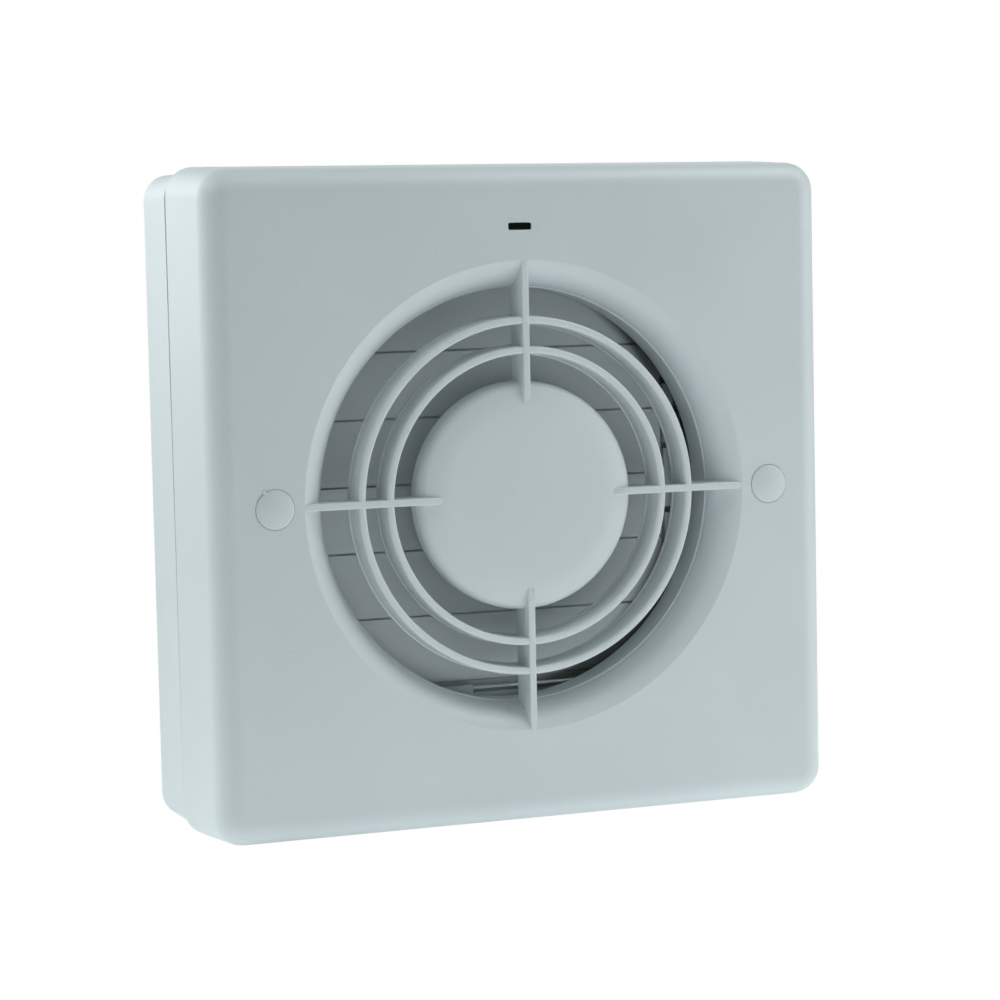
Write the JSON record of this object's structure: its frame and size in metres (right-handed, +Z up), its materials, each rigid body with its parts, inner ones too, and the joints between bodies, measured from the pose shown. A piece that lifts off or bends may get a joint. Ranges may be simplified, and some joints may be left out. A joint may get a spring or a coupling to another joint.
{
  "type": "extractor fan",
  "caption": "Square wall-mounted axial extractor fan with ring grille, motor-driven impeller and a louvre shutter opened by an actuator.",
  "frame": {"origin": "point where the duct axis meets the wall plane, at the middle of the housing's rear face", "axes": "+X right as seen from the room, +Y into the wall along the duct axis, +Z up"},
  "size_m": [0.16, 0.0989, 0.16],
  "materials": {
    "cover_plastic": "injection-moulded white ABS, satin gloss",
    "housing_plastic": "injection-moulded white ABS, satin gloss",
    "flap_plastic": "moulded white polystyrene, satin",
    "inner_plastic": "moulded white nylon, matt",
    "impeller_plastic": "moulded grey-white polypropylene",
    "window_plastic": "polished dark acrylic",
    "zinc_steel": "bright zinc-plated steel",
    "lamination": "stacked electrical steel, rolled finish",
    "rotor_aluminium": "die-cast aluminium cage, turned",
    "bearing_bronze": "sintered bronze",
    "coil_tape": "yellow polyester tape round the winding",
    "lamp_glass": "clear glass capsule, orange when lit",
    "actuator_shell": "black glass-filled nylon",
    "terminal_plastic": "cream polyamide",
    "blue_lead": "blue PVC insulation",
    "brown_lead": "brown PVC insulation"
  },
  "bodies": {
    "casing": {"rear_housing": "housing_plastic", "shutter_frame": "inner_plastic", "frame_screw_1": "zinc_steel", "frame_screw_2": "zinc_steel", "frame_screw_3": "zinc_steel", "frame_screw_4": "zinc_steel", "bell_crank_screw": "zinc_steel", "actuator_body": "actuator_shell", "lamp_holder": "inner_plastic", "indicator_lamp": "lamp_glass", "motor_stator": "lamination", "motor_coil": "coil_tape", "bearing_bracket_front": "zinc_steel", "bearing_bracket_rear": "zinc_steel", "bearing_front": "bearing_bronze", "bearing_rear": "bearing_bronze", "motor_screw_left": "zinc_steel", "motor_screw_right": "zinc_steel", "terminal_block": "terminal_plastic", "terminal_screw_1": "zinc_steel", "terminal_screw_2": "zinc_steel", "terminal_screw_3": "zinc_steel", "cable_clamp": "inner_plastic", "clamp_screw_1": "zinc_steel", "clamp_screw_2": "zinc_steel", "motor_lead_live": "brown_lead", "motor_lead_neutral": "blue_lead", "actuator_lead": "blue_lead"},
    "cover": {"front_cover": "cover_plastic", "indicator_window": "window_plastic", "cover_screw_left": "zinc_steel", "cover_screw_right": "zinc_steel"},
    "cap_left": {"screw_cap_left": "cover_plastic"},
    "cap_right": {"screw_cap_right": "cover_plastic"},
    "flap_1": {"shutter_flap_1": "flap_plastic"},
    "flap_2": {"shutter_flap_2": "flap_plastic"},
    "flap_3": {"shutter_flap_3": "flap_plastic"},
    "flap_4": {"shutter_flap_4": "flap_plastic"},
    "flap_5": {"shutter_flap_5": "flap_plastic"},
    "flap_6": {"shutter_flap_6": "flap_plastic"},
    "link_bar": {"link_bar": "inner_plastic"},
    "bell_crank": {"bell_crank": "inner_plastic"},
    "push_rod": {"push_rod": "zinc_steel"},
    "impeller": {"impeller": "impeller_plastic", "impeller_clip": "zinc_steel", "motor_shaft": "zinc_steel", "motor_rotor": "rotor_aluminium"}
  },
  "joints": [
    {"name": "cover_off", "type": "slide", "parent": "casing", "child": "cover", "axis": [0, -1, 0], "range_m": [0, 0.06]},
    {"name": "cap_left_pull", "type": "slide", "parent": "cover", "child": "cap_left", "axis": [0, -1, 0], "range_m": [0, 0.012]},
    {"name": "cap_right_pull", "type": "slide", "parent": "cover", "child": "cap_right", "axis": [0, -1, 0], "range_m": [0, 0.012]},
    {"name": "flap_1_swing", "type": "hinge", "parent": "casing", "child": "flap_1", "pos_m": [0, -0.03175, 0.0488], "axis": [1, 0, 0], "range_deg": [0, 80], "stiffness_Nm_per_rad": 0.004, "springref_deg": -11.46},
    {"name": "flap_2_swing", "type": "hinge", "parent": "casing", "child": "flap_2", "pos_m": [0, -0.03175, 0.03275], "axis": [1, 0, 0], "range_deg": [0, 80]},
    {"name": "flap_3_swing", "type": "hinge", "parent": "casing", "child": "flap_3", "pos_m": [0, -0.03175, 0.0167], "axis": [1, 0, 0], "range_deg": [0, 80]},
    {"name": "flap_4_swing", "type": "hinge", "parent": "casing", "child": "flap_4", "pos_m": [0, -0.03175, 0.00065], "axis": [1, 0, 0], "range_deg": [0, 80]},
    {"name": "flap_5_swing", "type": "hinge", "parent": "casing", "child": "flap_5", "pos_m": [0, -0.03175, -0.0154], "axis": [1, 0, 0], "range_deg": [0, 80]},
    {"name": "flap_6_swing", "type": "hinge", "parent": "casing", "child": "flap_6", "pos_m": [0, -0.03175, -0.03145], "axis": [1, 0, 0], "range_deg": [0, 80]},
    {"name": "link_bar_swing", "type": "hinge", "parent": "flap_1", "child": "link_bar", "pos_m": [0, -0.02715, 0.04494], "axis": [1, 0, 0], "range_deg": [-80, 0]},
    {"name": "bell_crank_turn", "type": "hinge", "parent": "casing", "child": "bell_crank", "pos_m": [0.0564, -0.0311, -0.05499], "axis": [0, 1, 0], "range_deg": [0, 59.27]},
    {"name": "push_rod_slide", "type": "slide", "parent": "casing", "child": "push_rod", "axis": [1, 0, 0], "range_m": [0, 0.00771]},
    {"name": "impeller_spin", "type": "hinge", "parent": "casing", "child": "impeller", "pos_m": [0, 0, 0], "axis": [0, 1, 0], "continuous": true}
  ],
  "couplings": [
    {"joint": "flap_2_swing", "follows": "flap_1_swing", "ratio": 1},
    {"joint": "flap_3_swing", "follows": "flap_1_swing", "ratio": 1},
    {"joint": "flap_4_swing", "follows": "flap_1_swing", "ratio": 1},
    {"joint": "flap_5_swing", "follows": "flap_1_swing", "ratio": 1},
    {"joint": "flap_6_swing", "follows": "flap_1_swing", "ratio": 1},
    {"joint": "link_bar_swing", "follows": "flap_1_swing", "ratio": -1},
    {"joint": "bell_crank_turn", "follows": "flap_1_swing", "ratio": 0.74084},
    {"joint": "push_rod_slide", "follows": "flap_1_swing", "m_per_rad": 0.0055243}
  ]
}
